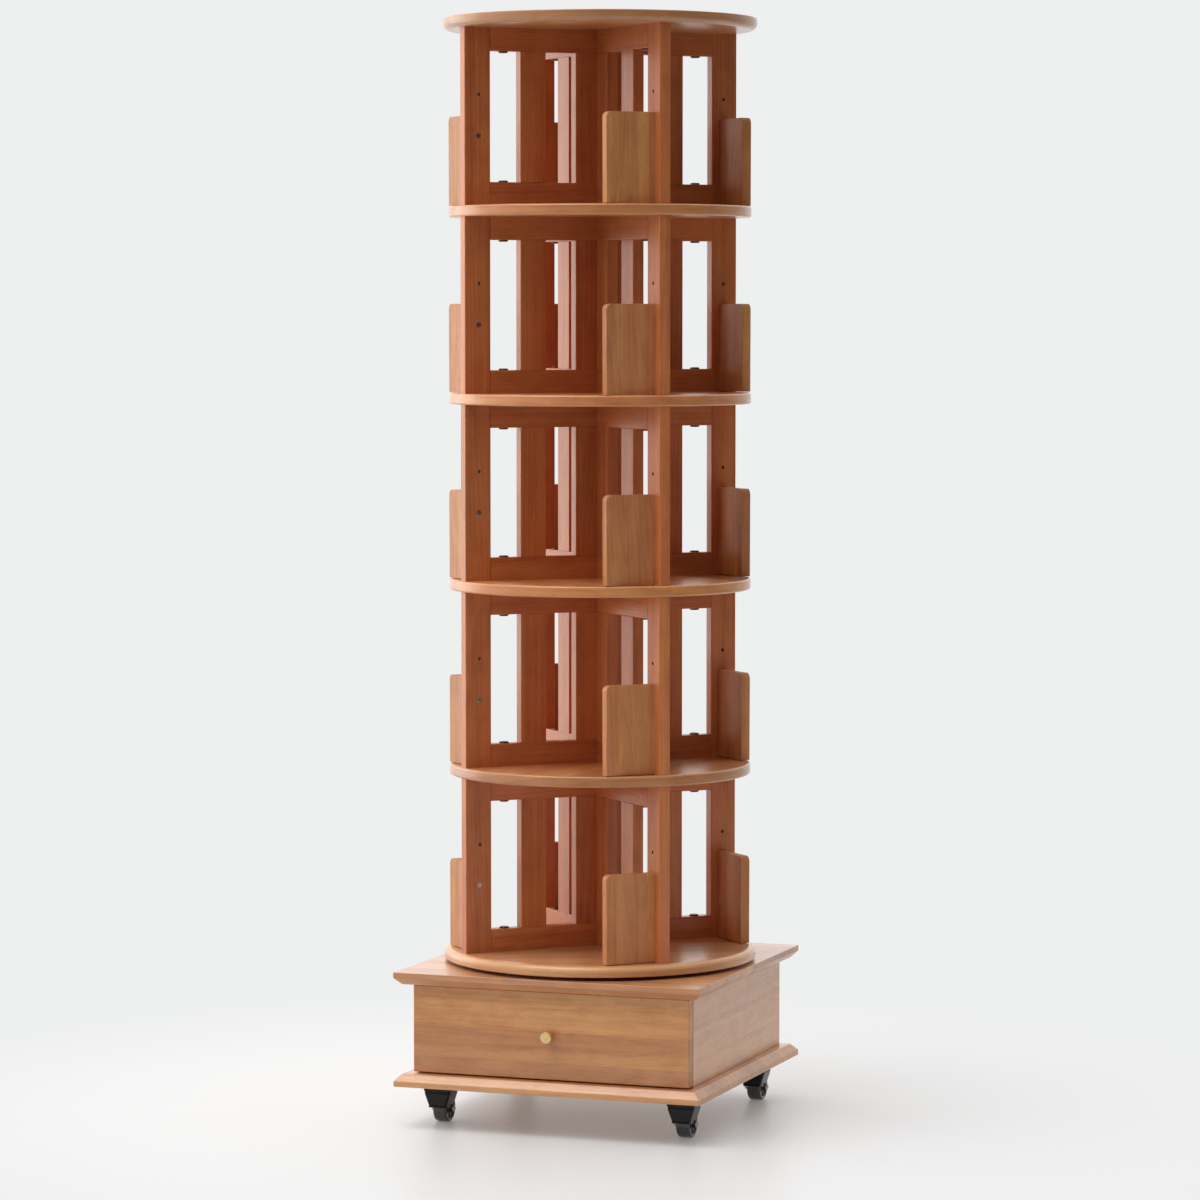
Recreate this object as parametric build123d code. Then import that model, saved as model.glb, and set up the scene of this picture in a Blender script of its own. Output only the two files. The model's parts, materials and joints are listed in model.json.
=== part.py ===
from build123d import *
import os

# Revolving bookcase: a round tower of open tiers turns on a square drawer base with four casters.
# Millimetres. The origin is on the floor under the tower's axis, +Z is up and the drawer faces -Y.

# Tower discs and shelves
tier_count = 5
tier_pitch = 270.0
shelf_radius = 220.0
shelf_thickness = 16.0
shelf_edge_round = 3.0
top_disc_radius = 228.0
top_disc_thickness = 17.0
bottom_disc_radius = 228.0
bottom_disc_thickness = 16.0
disc_wide_round = 10.0
disc_small_round = 1.5

# Panels: two per tier, crossing on the axis with a half lap
panel_thickness = 17.0
panel_setback = 2.5
outer_stile_width = 40.0
middle_stile_width = 40.0
centre_stile_width = 85.0
rail_height = 33.5
lap_clearance = 0.1

# Book stops: one beside the end of each arm
stop_thickness = 14.0
stop_width = 76.0
stop_height = 128.0
stop_setback = 14.5
stop_floor_gap = 1.0
stop_edge_round = 4.0
stop_screw_drop = 30.0
stop_dowel_height = 40.0
spare_hole_rise = 29.0
spare_hole_diameter = 5.0

# Bolts that tie the tiers together through the rails
bolt_diameter = 6.0
bolt_head_diameter = 14.0
bolt_head_height = 2.5
bolt_head_round = 2.0
sleeve_nut_diameter = 8.0
sleeve_nut_cover = 11.5
sleeve_nut_floor = 4.0
insert_nut_diameter = 9.0
insert_nut_cover = 4.0

# Wood screws and dowels
screw_diameter = 4.0
screw_head_diameter = 7.5
screw_head_height = 2.5
stop_screw_bite = 28.0
ring_screw_bite = 8.0
base_screw_bite = 27.0
caster_screw_bite = 13.5
dowel_diameter = 8.0
stop_dowel_in_panel = 10.0
stop_dowel_in_stop = 20.0
base_dowel_in_board = 14.0
base_dowel_in_wall = 22.0
fastener_gap = 0.05

# Turntable: two concentric rings with balls between them, let into the base
ball_circle_radius = 130.0
turntable_ring_width = 19.5
turntable_height = 8.0
turntable_recess = 3.0
ball_diameter = 4.0
ball_count = 36
ball_gap = 0.05
ring_gap = 0.5
ring_screw_count = 6
recess_clearance = 1.0

# Base box
base_board_size = 465.0
base_board_thickness = 18.0
base_board_bevel = 10.0
base_overhang = 22.5
box_height = 130.0
side_thickness = 18.0
back_thickness = 18.0
base_fastener_inset = 90.0

# Drawer
drawer_front_thickness = 18.0
drawer_reveal = 2.0
drawer_front_gap = 1.0
drawer_front_round = 1.0
drawer_side_thickness = 12.0
drawer_floor_gap = 14.0
drawer_top_gap = 21.0
drawer_back_thickness = 12.0
drawer_back_clearance = 22.0
drawer_bottom_thickness = 6.0
drawer_bottom_lift = 8.0
drawer_groove_depth = 5.0
drawer_groove_gap = 0.1
knob_diameter = 16.5
knob_head_length = 10.0
knob_neck_diameter = 9.0
knob_neck_length = 7.0
knob_edge_round = 1.2
knob_screw_depth = 8.0

# Telescopic drawer slides
slide_thickness = 12.7
slide_height = 45.0
slide_front_setback = 3.0
slide_back_setback = 9.0
slide_sheet = 1.2
slide_gap = 0.4

# Casters
caster_headroom = 21.0
caster_side_inset = 46.0
caster_front_inset = 70.0
caster_plate_size = 46.0
caster_plate_thickness = 2.5
caster_plate_round = 3.0
caster_screw_inset = 6.0
swivel_race_diameter = 30.0
swivel_race_height = 5.0
swivel_gap = 0.3
kingpin_diameter = 8.0
kingpin_length = 10.0
running_gap = 0.05
wheel_diameter = 40.0
wheel_width = 21.0
wheel_edge_round = 3.0
wheel_hub_diameter = 16.0
wheel_rim_thickness = 5.0
wheel_dish_depth = 2.0
wheel_clearance = 2.0
wheel_side_gap = 0.8
caster_trail = 12.0
fork_crown_width = 42.0
fork_crown_length = 36.0
fork_crown_height = 6.0
fork_hood_drop = 22.0
fork_hood_setback = 2.0
fork_leg_thickness = 2.5
fork_leg_end_radius = 7.0
fork_taper_end = 6.0
axle_diameter = 6.0
axle_head_diameter = 10.0
axle_head_height = 3.0
axle_nut_width = 10.0
axle_nut_height = 4.5

# Levels, from the floor up
bottom_board_base = wheel_diameter + caster_headroom
box_base = bottom_board_base + base_board_thickness
top_board_base = box_base + box_height
base_top = top_board_base + base_board_thickness
recess_floor = base_top - turntable_recess
tower_base = recess_floor + turntable_height
first_floor = tower_base + bottom_disc_thickness
tier_floors = [first_floor + tier * tier_pitch for tier in range(tier_count)]
panel_height = tier_pitch - shelf_thickness
top_disc_base = tier_floors[-1] + panel_height

# Places along an arm, measured out from the tower's axis
arm_reach = shelf_radius - panel_setback
outer_stile_start = arm_reach - outer_stile_width
centre_stile_end = centre_stile_width / 2
window_width = (outer_stile_start - middle_stile_width - centre_stile_end) / 2
middle_stile_end = outer_stile_start - window_width
middle_stile_start = middle_stile_end - middle_stile_width
bolt_place = outer_stile_start - window_width / 2
stop_middle = arm_reach - stop_setback - stop_thickness / 2
stop_top = stop_floor_gap + stop_height
panel_face = panel_thickness / 2

# Arms lie on the base's diagonals when the drawer and the tower are at rest
arm_angles = [-45.0, 45.0, 135.0, 225.0]
slot_up_angle = arm_angles[0]
slot_down_angle = arm_angles[1]

# Places in the base
board_half = base_board_size / 2
box_half = board_half - base_overhang
box_inner_half = box_half - side_thickness
front_inner = -box_half + drawer_front_thickness
side_front = front_inner + drawer_front_gap
back_inner = box_half - back_thickness
caster_x = board_half - caster_side_inset
caster_y = board_half - caster_front_inset
caster_places = {
    "front_left": (-caster_x, -caster_y),
    "front_right": (caster_x, -caster_y),
    "back_left": (-caster_x, caster_y),
    "back_right": (caster_x, caster_y),
}

nodes = {}


def block(x_range, y_range, z_range):
    """Box between two corners."""
    spans = [x_range, y_range, z_range]
    middle = [(low + high) / 2 for low, high in spans]
    return Pos(*middle) * Box(*[high - low for low, high in spans])


def rod(diameter, low, high):
    """Upright cylinder on the Z axis."""
    return Pos(0, 0, (low + high) / 2) * Cylinder(diameter / 2, high - low)


def group(shapes):
    """Separate solids kept side by side in one node."""
    return Compound([solid for shape in shapes for solid in shape.solids()])


def around(shape, angles):
    """Copies of a shape turned about the tower's axis."""
    return [Rot(0, 0, angle) * shape for angle in angles]


def even_angles(count):
    return [turn * 360 / count for turn in range(count)]


def cut(body, tools):
    """Body less every tool, still one solid."""
    for tool in tools:
        body = body - tool
    return body


def cut_each(solids, tools):
    """Each solid less the tools that reach it."""
    return [cut(solid, tools) for solid in solids]


def wood_screw(length, gap=0.0):
    """Countersunk screw that points down with its head flush at z = 0; a gap makes it the hole."""
    shank_radius = screw_diameter / 2 + gap
    head_radius = screw_head_diameter / 2 + gap
    head = Cone(shank_radius, head_radius, screw_head_height)
    return rod(2 * shank_radius, -length, 0) + Pos(0, 0, -screw_head_height / 2) * head


def dome_head(diameter, height):
    """Round head that stands on z = 0."""
    head = rod(diameter, 0, height)
    return fillet(head.edges().group_by(Axis.Z)[-1], bolt_head_round)


def outer_edges(disc, level):
    """Largest circle at the lowest (0) or highest (-1) level of a disc."""
    return disc.edges().group_by(Axis.Z)[level].sort_by(SortBy.LENGTH)[-1:]


def arm_bolts(low, high, diameter):
    """Upright holes or shanks at the bolt place of every arm."""
    return around(Pos(bolt_place, 0, 0) * rod(diameter, low, high), arm_angles)


# Discs and shelves, with holes for the tier bolts
bolt_hole = bolt_diameter + 2 * fastener_gap
insert_hole = insert_nut_diameter + 2 * fastener_gap
bottom_insert_length = bottom_disc_thickness - insert_nut_cover
top_insert_length = top_disc_thickness - insert_nut_cover
ring_height = turntable_height - ring_gap
ring_inset = ring_gap + turntable_ring_width / 2
ring_screw_length = ring_height + ring_screw_bite


def upper_ring_screws(gap):
    screw = Rot(180, 0, 0) * wood_screw(ring_screw_length, gap)
    placed = Pos(ball_circle_radius + ring_inset, 0, recess_floor + ring_gap) * screw
    return around(placed, even_angles(ring_screw_count))


def make_bottom_disc():
    disc = rod(2 * bottom_disc_radius, tower_base, first_floor)
    disc = fillet(outer_edges(disc, -1), disc_wide_round)
    disc = fillet(outer_edges(disc, 0), disc_small_round)
    disc = cut(disc, arm_bolts(first_floor - bottom_insert_length, first_floor, insert_hole))
    return cut(disc, upper_ring_screws(fastener_gap))


def make_shelf(floor):
    shelf = rod(2 * shelf_radius, floor - shelf_thickness, floor)
    shelf = fillet(outer_edges(shelf, -1) + outer_edges(shelf, 0), shelf_edge_round)
    return cut(shelf, arm_bolts(floor - shelf_thickness, floor, bolt_hole))


def make_top_disc():
    disc = rod(2 * top_disc_radius, top_disc_base, top_disc_base + top_disc_thickness)
    disc = fillet(outer_edges(disc, 0), disc_wide_round)
    disc = fillet(outer_edges(disc, -1), disc_small_round)
    return cut(disc, arm_bolts(top_disc_base, top_disc_base + top_insert_length, insert_hole))


nodes["bottom_disc"] = make_bottom_disc()
for number, floor in enumerate(tier_floors[1:], start=1):
    nodes[f"shelf_{number}"] = make_shelf(floor)
nodes["top_disc"] = make_top_disc()


# Book stops and what holds them, drawn on an arm that points along +X
def stop_board():
    thickness_range = (stop_middle - stop_thickness / 2, stop_middle + stop_thickness / 2)
    width_range = (-panel_face - stop_width, -panel_face)
    board = block(thickness_range, width_range, (stop_floor_gap, stop_top))
    foot_edges = board.faces().sort_by(Axis.Z)[0].edges()
    joint_edges = board.faces().sort_by(Axis.Y)[-1].edges()
    free_edges = [edge for edge in board.edges() if edge not in foot_edges + joint_edges]
    return fillet(free_edges, stop_edge_round)


def stop_screw(gap=0.0):
    screw = Rot(-90, 0, 0) * wood_screw(panel_thickness + stop_screw_bite, gap)
    return Pos(stop_middle, panel_face, stop_top - stop_screw_drop) * screw


def stop_dowel(gap=0.0):
    dowel = rod(dowel_diameter + 2 * gap, -stop_dowel_in_stop, stop_dowel_in_panel)
    return Pos(stop_middle, -panel_face, stop_dowel_height) * Rot(-90, 0, 0) * dowel


def spare_hole():
    hole = rod(spare_hole_diameter, -panel_face, panel_face)
    return Pos(stop_middle, 0, stop_top + spare_hole_rise) * Rot(90, 0, 0) * hole


drilled_stop = cut(stop_board(), [stop_screw(fastener_gap), stop_dowel(fastener_gap)])
for number, floor in enumerate(tier_floors, start=1):
    nodes[f"tier_{number}_book_stops"] = group(around(Pos(0, 0, floor) * drilled_stop, arm_angles))

on_every_arm = [Pos(0, 0, floor) * Rot(0, 0, angle) for floor in tier_floors for angle in arm_angles]
nodes["stop_screws"] = group([place * stop_screw() for place in on_every_arm])
nodes["stop_dowels"] = group([place * stop_dowel() for place in on_every_arm])


# Panels: glued frames of stiles and rails, drawn along X with their foot at z = 0
sleeve_nut_length = rail_height - sleeve_nut_cover


def stile(start, end, low, high):
    return block((start, end), (-panel_face, panel_face), (low, high))


def panel_holes(is_top_tier):
    """Holes for the bolts, stop screws and dowels of the two arms of one panel."""
    bolt = Pos(bolt_place, 0, 0) * rod(bolt_hole, 0, panel_height)
    holes = [bolt, stop_screw(fastener_gap), stop_dowel(fastener_gap), spare_hole()]
    if not is_top_tier:
        nut_hole = sleeve_nut_diameter + 2 * fastener_gap
        nut_base = panel_height - rail_height
        holes.append(Pos(bolt_place, 0, 0) * rod(nut_hole, nut_base, nut_base + sleeve_nut_length))
    return [turned for hole in holes for turned in around(hole, [0, 180])]


def make_panel(slot_is_up, is_top_tier):
    """One panel, with its half-lap slot open at the top or at the foot."""
    window_top = panel_height - rail_height
    half = [
        stile(outer_stile_start, arm_reach, 0, panel_height),
        stile(middle_stile_start, middle_stile_end, rail_height, window_top),
    ]
    solids = [Rot(0, 0, angle) * piece for angle in (0, 180) for piece in half]
    solids.append(stile(-centre_stile_end, centre_stile_end, rail_height, window_top))
    solids.append(stile(-outer_stile_start, outer_stile_start, 0, rail_height))
    solids.append(stile(-outer_stile_start, outer_stile_start, window_top, panel_height))
    slot_half = panel_face + lap_clearance
    slot_range = (panel_height / 2, panel_height) if slot_is_up else (0, panel_height / 2)
    slot = stile(-slot_half, slot_half, *slot_range)
    return group(cut_each(solids, panel_holes(is_top_tier) + [slot]))


for number, floor in enumerate(tier_floors, start=1):
    is_top = number == tier_count
    slot_up = make_panel(True, is_top)
    slot_down = make_panel(False, is_top)
    nodes[f"tier_{number}_panel_slot_up"] = Pos(0, 0, floor) * Rot(0, 0, slot_up_angle) * slot_up
    nodes[f"tier_{number}_panel_slot_down"] = Pos(0, 0, floor) * Rot(0, 0, slot_down_angle) * slot_down


# Tier bolts: a head on the sill, a sleeve nut under the shelf, insert nuts in the end discs
def bolt_down(length):
    """Bolt that points down with its head standing on z = 0."""
    return rod(bolt_diameter, -length, 0) + dome_head(bolt_head_diameter, bolt_head_height)


def sleeve_nut():
    """Nut that points up, its head hanging under z = 0 and its blind bore open at the top."""
    head = Rot(180, 0, 0) * dome_head(bolt_head_diameter, bolt_head_height)
    barrel = rod(sleeve_nut_diameter, 0, sleeve_nut_length)
    bore = rod(bolt_hole, sleeve_nut_floor, sleeve_nut_length)
    return head + barrel - bore


def make_bolts():
    through = 2 * rail_height + shelf_thickness - sleeve_nut_floor
    bolts = [Pos(bolt_place, 0, floor + rail_height) * bolt_down(through) for floor in tier_floors[1:]]
    lowest = bolt_down(rail_height + bottom_insert_length)
    highest = Rot(180, 0, 0) * bolt_down(rail_height + top_insert_length)
    bolts.append(Pos(bolt_place, 0, first_floor + rail_height) * lowest)
    bolts.append(Pos(bolt_place, 0, top_disc_base - rail_height) * highest)
    return group([turned for bolt in bolts for turned in around(bolt, arm_angles)])


def insert_nut(low, high):
    return rod(insert_nut_diameter, low, high) - rod(bolt_hole, low, high)


def make_nuts():
    nut = sleeve_nut()
    under_shelf = shelf_thickness + rail_height
    nuts = [Pos(bolt_place, 0, floor - under_shelf) * nut for floor in tier_floors[1:]]
    nuts.append(Pos(bolt_place, 0, 0) * insert_nut(first_floor - bottom_insert_length, first_floor))
    nuts.append(Pos(bolt_place, 0, 0) * insert_nut(top_disc_base, top_disc_base + top_insert_length))
    return group([turned for piece in nuts for turned in around(piece, arm_angles)])


nodes["panel_bolts"] = make_bolts()
nodes["panel_bolt_nuts"] = make_nuts()


# Turntable bearing
ring_offset = ring_gap + turntable_ring_width
turntable_radius = ball_circle_radius + ring_offset
ball_level = (recess_floor + tower_base) / 2


def lower_ring_screws(gap):
    screw = wood_screw(ring_screw_length, gap)
    placed = Pos(ball_circle_radius - ring_inset, 0, recess_floor + ring_height) * screw
    return around(placed, even_angles(ring_screw_count))


def bearing_ring(inner, outer, low, screw_holes):
    ring = rod(2 * outer, low, low + ring_height) - rod(2 * inner, low, low + ring_height)
    groove = Pos(0, 0, ball_level) * Torus(ball_circle_radius, ball_diameter / 2 + ball_gap)
    return cut(ring, [groove] + screw_holes)


def make_balls():
    ball = Pos(ball_circle_radius, 0, ball_level) * Sphere(ball_diameter / 2)
    return group(around(ball, even_angles(ball_count)))


nodes["turntable_lower_ring"] = bearing_ring(
    ball_circle_radius - ring_offset, ball_circle_radius - ring_gap, recess_floor,
    lower_ring_screws(fastener_gap))
nodes["turntable_upper_ring"] = bearing_ring(
    ball_circle_radius + ring_gap, turntable_radius, recess_floor + ring_gap,
    upper_ring_screws(fastener_gap))
nodes["turntable_lower_screws"] = group(lower_ring_screws(0.0))
nodes["turntable_upper_screws"] = group(upper_ring_screws(0.0))
nodes["turntable_balls"] = make_balls()


# Base box
side_middle = box_half - side_thickness / 2
back_middle = box_half - back_thickness / 2
fastener_places = [(x, y) for x in (-side_middle, side_middle)
                   for y in (side_front + base_fastener_inset, back_inner - base_fastener_inset)]
fastener_places += [(x, back_middle) for x in (-box_inner_half / 2, box_inner_half / 2)]


def base_screws(gap):
    screw = Rot(180, 0, 0) * wood_screw(base_board_thickness + base_screw_bite, gap)
    return [Pos(x, y, bottom_board_base) * screw for x, y in fastener_places]


def base_dowels(gap):
    dowel = rod(dowel_diameter + 2 * gap, -base_dowel_in_wall, base_dowel_in_board)
    return [Pos(x, y, top_board_base) * dowel for x, y in fastener_places]


def caster_screws(gap):
    """Screws of all four plates, their heads flush with the plates' undersides."""
    reach = caster_plate_size / 2 - caster_screw_inset
    level = bottom_board_base - caster_plate_thickness
    screw = Rot(180, 0, 0) * wood_screw(caster_plate_thickness + caster_screw_bite, gap)
    corners = [(x, y) for x in (-reach, reach) for y in (-reach, reach)]
    return [Pos(place_x + x, place_y + y, level) * screw
            for place_x, place_y in caster_places.values() for x, y in corners]


def bevelled_board(low, bevelled_level):
    """Square board with a bevel all round its lowest (0) or highest (-1) face."""
    span = (-board_half, board_half)
    board = block(span, span, (low, low + base_board_thickness))
    return chamfer(board.faces().sort_by(Axis.Z)[bevelled_level].edges(), base_board_bevel)


def make_base_top():
    recess = rod(2 * (turntable_radius + recess_clearance), recess_floor, base_top)
    board = bevelled_board(top_board_base, 0) - recess
    return cut(board, lower_ring_screws(fastener_gap) + base_dowels(fastener_gap))


def make_base_bottom():
    board = bevelled_board(bottom_board_base, -1)
    return cut(board, base_screws(fastener_gap) + caster_screws(fastener_gap))


def make_base_wall(x_range, y_range):
    wall = block(x_range, y_range, (box_base, top_board_base))
    return cut(wall, base_screws(fastener_gap) + base_dowels(fastener_gap))


nodes["base_top_board"] = make_base_top()
nodes["base_bottom_board"] = make_base_bottom()
nodes["base_side_left"] = make_base_wall((-box_half, -box_inner_half), (side_front, box_half))
nodes["base_side_right"] = make_base_wall((box_inner_half, box_half), (side_front, box_half))
nodes["base_back"] = make_base_wall((-box_inner_half, box_inner_half), (back_inner, box_half))
nodes["base_screws"] = group(base_screws(0.0))
nodes["base_dowels"] = group(base_dowels(0.0))


# Drawer
drawer_half = box_inner_half - slide_thickness
drawer_inner_half = drawer_half - drawer_side_thickness
drawer_base = box_base + drawer_floor_gap
drawer_rim = top_board_base - drawer_top_gap
drawer_back_end = back_inner - drawer_back_clearance
drawer_back_start = drawer_back_end - drawer_back_thickness
knob_level = (box_base + top_board_base) / 2


def drawer_bottom_panel(gap=0.0):
    """Thin bottom that sits in grooves; a gap makes it the grooves."""
    reach = drawer_groove_depth + gap
    low = drawer_base + drawer_bottom_lift - gap
    return block((-drawer_inner_half - reach, drawer_inner_half + reach),
                 (front_inner - reach, drawer_back_start + reach),
                 (low, low + drawer_bottom_thickness + 2 * gap))


def knob_screw(gap=0.0):
    """Screw from inside the drawer through the front into the knob."""
    screw = wood_screw(drawer_front_thickness + knob_screw_depth, gap)
    return Pos(0, front_inner, knob_level) * Rot(-90, 0, 0) * screw


def make_knob():
    neck = rod(knob_neck_diameter, 0, knob_neck_length)
    head = rod(knob_diameter, knob_neck_length, knob_neck_length + knob_head_length)
    head = fillet(head.edges().filter_by(GeomType.CIRCLE), knob_edge_round)
    knob = Pos(0, -box_half, knob_level) * Rot(90, 0, 0) * (neck + head)
    return knob - knob_screw(fastener_gap)


def make_drawer_front():
    front = block((-box_half, box_half), (-box_half, front_inner),
                  (box_base + drawer_reveal, top_board_base - drawer_reveal))
    front = fillet(front.faces().sort_by(Axis.Y)[0].edges(), drawer_front_round)
    return cut(front, [drawer_bottom_panel(drawer_groove_gap), knob_screw(fastener_gap)])


def make_drawer_side(inner, outer):
    side = block((inner, outer), (front_inner, drawer_back_end), (drawer_base, drawer_rim))
    return side - drawer_bottom_panel(drawer_groove_gap)


def make_drawer_back():
    back = block((-drawer_inner_half, drawer_inner_half), (drawer_back_start, drawer_back_end),
                 (drawer_base, drawer_rim))
    return back - drawer_bottom_panel(drawer_groove_gap)


nodes["drawer_front"] = make_drawer_front()
nodes["drawer_side_left"] = make_drawer_side(-drawer_half, -drawer_inner_half)
nodes["drawer_side_right"] = make_drawer_side(drawer_inner_half, drawer_half)
nodes["drawer_back"] = make_drawer_back()
nodes["drawer_bottom"] = drawer_bottom_panel()
nodes["drawer_knob"] = group([make_knob(), knob_screw()])


# Telescopic slides: three channels nested in each other on both sides of the drawer
slide_middle_level = (drawer_base + drawer_rim) / 2
slide_start = front_inner + slide_front_setback
slide_end = drawer_back_end - slide_back_setback
step = slide_sheet + slide_gap


def channel(web_start, flange_end, half_height):
    """Channel along Y, its web at web_start and its flanges reaching to flange_end."""
    low, high = sorted((web_start, flange_end))
    length_range = (slide_start, slide_end)
    outside = block((low, high), length_range, (-half_height, half_height))
    towards_flange = slide_sheet if flange_end > web_start else -slide_sheet
    hollow_low, hollow_high = sorted((web_start + towards_flange, flange_end))
    hollow_half = half_height - slide_sheet
    hollow = block((hollow_low, hollow_high), length_range, (-hollow_half, hollow_half))
    return Pos(0, 0, slide_middle_level) * (outside - hollow)


def both_sides(rail):
    return group([rail, mirror(rail, about=Plane.YZ)])


half_slide = slide_height / 2
cabinet_rail = channel(-box_inner_half, -drawer_half - step, half_slide)
middle_rail = channel(-box_inner_half + step, -drawer_half - step, half_slide - step)
drawer_rail = channel(-drawer_half, -box_inner_half + 2 * step, half_slide - 2 * step)
nodes["slide_cabinet_rails"] = both_sides(cabinet_rail)
nodes["slide_middle_rails"] = both_sides(middle_rail)
nodes["slide_drawer_rails"] = both_sides(drawer_rail)


# Casters, drawn with the swivel axis on Z and the wheel rolling along Y
axle_level = wheel_diameter / 2
plate_base = bottom_board_base - caster_plate_thickness
race_base = plate_base - swivel_race_height
crown_top = race_base - swivel_gap
crown_base = crown_top - fork_crown_height
leg_inside = wheel_width / 2 + wheel_side_gap
leg_outside = leg_inside + fork_leg_thickness


def on_axle(shape):
    """Shape drawn along Z, laid along X through the axle."""
    return Pos(0, caster_trail, axle_level) * Rot(0, 90, 0) * shape


def make_caster_plate():
    half = caster_plate_size / 2
    plate = block((-half, half), (-half, half), (plate_base, bottom_board_base))
    plate = fillet(plate.edges().filter_by(Axis.Z), caster_plate_round)
    race = rod(swivel_race_diameter, race_base, plate_base)
    return plate + race + rod(kingpin_diameter, crown_top - kingpin_length, race_base)


def make_fork():
    """Crown and two legs that taper to the axle, with room for the wheel between them."""
    crown_half = fork_crown_width / 2
    crown_end = fork_crown_length / 2
    leg_low = axle_level - fork_leg_end_radius
    side_outline = Polyline([
        (-crown_end, crown_top), (crown_end, crown_top), (crown_end, crown_base),
        (caster_trail + fork_leg_end_radius, axle_level), (caster_trail - fork_leg_end_radius, axle_level),
        (fork_hood_setback - crown_end, crown_base - fork_hood_drop), (-crown_end, crown_base)], close=True)
    leg_end = Pos(caster_trail, axle_level) * Circle(fork_leg_end_radius)
    side_face = Plane.YZ * (make_face(side_outline) + leg_end)
    side = extrude(side_face, crown_half, both=True)
    taper_level = axle_level + fork_taper_end
    front_outline = Polyline([
        (-crown_half, crown_top), (crown_half, crown_top), (crown_half, crown_base),
        (leg_outside, taper_level), (leg_outside, leg_low),
        (-leg_outside, leg_low), (-leg_outside, taper_level), (-crown_half, crown_base)], close=True)
    front = extrude(Plane.XZ * make_face(front_outline), fork_crown_length + caster_trail, both=True)
    wheel_room = on_axle(Cylinder(wheel_diameter / 2 + wheel_clearance, 2 * leg_inside))
    axle_hole = on_axle(Cylinder(axle_diameter / 2 + fastener_gap, 2 * crown_half))
    pin_hole = rod(kingpin_diameter + 2 * running_gap, crown_top - kingpin_length - swivel_gap, crown_top)
    return cut(side & front, [wheel_room, axle_hole, pin_hole])


def make_wheel():
    wheel = fillet(Cylinder(wheel_diameter / 2, wheel_width).edges(), wheel_edge_round)
    rim_inside = wheel_diameter / 2 - wheel_rim_thickness
    dish = Cylinder(rim_inside, wheel_dish_depth) - Cylinder(wheel_hub_diameter / 2, wheel_dish_depth)
    dish_level = (wheel_width - wheel_dish_depth) / 2
    wheel = cut(wheel, [Pos(0, 0, dish_level) * dish, Pos(0, 0, -dish_level) * dish])
    return on_axle(wheel - Cylinder(axle_diameter / 2 + running_gap, wheel_width))


def make_axle():
    """Axle bolt with its head on one leg and its nut on the other."""
    nut_end = leg_outside + axle_nut_height
    shank = rod(axle_diameter, -nut_end, leg_outside)
    head = Pos(0, 0, leg_outside) * dome_head(axle_head_diameter, axle_head_height)
    nut_sketch = RegularPolygon(axle_nut_width / 2, 6, major_radius=False)
    nut = extrude(nut_sketch, axle_nut_height) - rod(axle_diameter + 2 * fastener_gap, 0, axle_nut_height)
    return group([on_axle(shank + head), on_axle(Pos(0, 0, -nut_end) * nut)])


drilled_plates = [Pos(x, y, 0) * make_caster_plate() for x, y in caster_places.values()]
nodes["caster_plates"] = group(cut_each(drilled_plates, caster_screws(fastener_gap)))
nodes["caster_screws"] = group(caster_screws(0.0))
for corner, (x, y) in caster_places.items():
    nodes[f"caster_{corner}_fork"] = Pos(x, y, 0) * make_fork()
    nodes[f"caster_{corner}_wheel"] = Pos(x, y, 0) * make_wheel()
    nodes[f"caster_{corner}_axle"] = Pos(x, y, 0) * make_axle()


os.makedirs("parts", exist_ok=True)
for name, shape in nodes.items():
    export_step(shape, f"parts/{name}.step")
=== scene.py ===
import json
import math
import random

import bmesh
import bpy
from mathutils import Matrix, Vector


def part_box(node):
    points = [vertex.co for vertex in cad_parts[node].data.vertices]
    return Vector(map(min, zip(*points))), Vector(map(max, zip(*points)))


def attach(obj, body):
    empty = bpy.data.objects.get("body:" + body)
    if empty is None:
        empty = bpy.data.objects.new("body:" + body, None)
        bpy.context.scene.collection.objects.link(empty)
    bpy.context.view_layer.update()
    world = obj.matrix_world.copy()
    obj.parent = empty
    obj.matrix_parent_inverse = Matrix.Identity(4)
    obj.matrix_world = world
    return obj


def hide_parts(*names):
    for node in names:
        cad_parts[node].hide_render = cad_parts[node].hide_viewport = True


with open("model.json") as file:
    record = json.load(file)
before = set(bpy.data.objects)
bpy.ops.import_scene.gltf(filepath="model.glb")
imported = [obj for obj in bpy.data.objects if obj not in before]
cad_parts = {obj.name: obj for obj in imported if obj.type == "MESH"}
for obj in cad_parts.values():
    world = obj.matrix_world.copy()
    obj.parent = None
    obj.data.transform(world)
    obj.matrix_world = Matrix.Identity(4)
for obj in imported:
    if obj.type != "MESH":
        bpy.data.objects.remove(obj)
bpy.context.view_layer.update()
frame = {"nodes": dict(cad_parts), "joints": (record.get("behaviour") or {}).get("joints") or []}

# Revolving bookcase: the shapes and finishes of its wood and metal, over the solids of the frame.
# Metres, +Z up, drawer at -Y.

MM = 0.001

# Panel frames, measured along an arm from the tower's axis
panel_thickness = 17 * MM
arm_reach = 217.5 * MM
outer_stile_width = 40 * MM
middle_stile_width = 40 * MM
centre_stile_width = 85 * MM
rail_height = 33.5 * MM
lap_slot_width = 17.2 * MM
panel_angles = {"slot_up": -45, "slot_down": 45}
arm_angles = [-45, 45, 135, 225]
tier_count = 5
sanded_edge = 1.1 * MM

# Book stops
stop_thickness = 14 * MM
stop_width = 76 * MM
stop_height = 128 * MM
stop_floor_gap = 1 * MM
stop_setback = 14.5 * MM
stop_corner = 7 * MM
stop_edge = 4 * MM
stop_screw_drop = 30 * MM
spare_hole_rise = 29 * MM
spare_hole_diameter = 5 * MM

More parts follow.
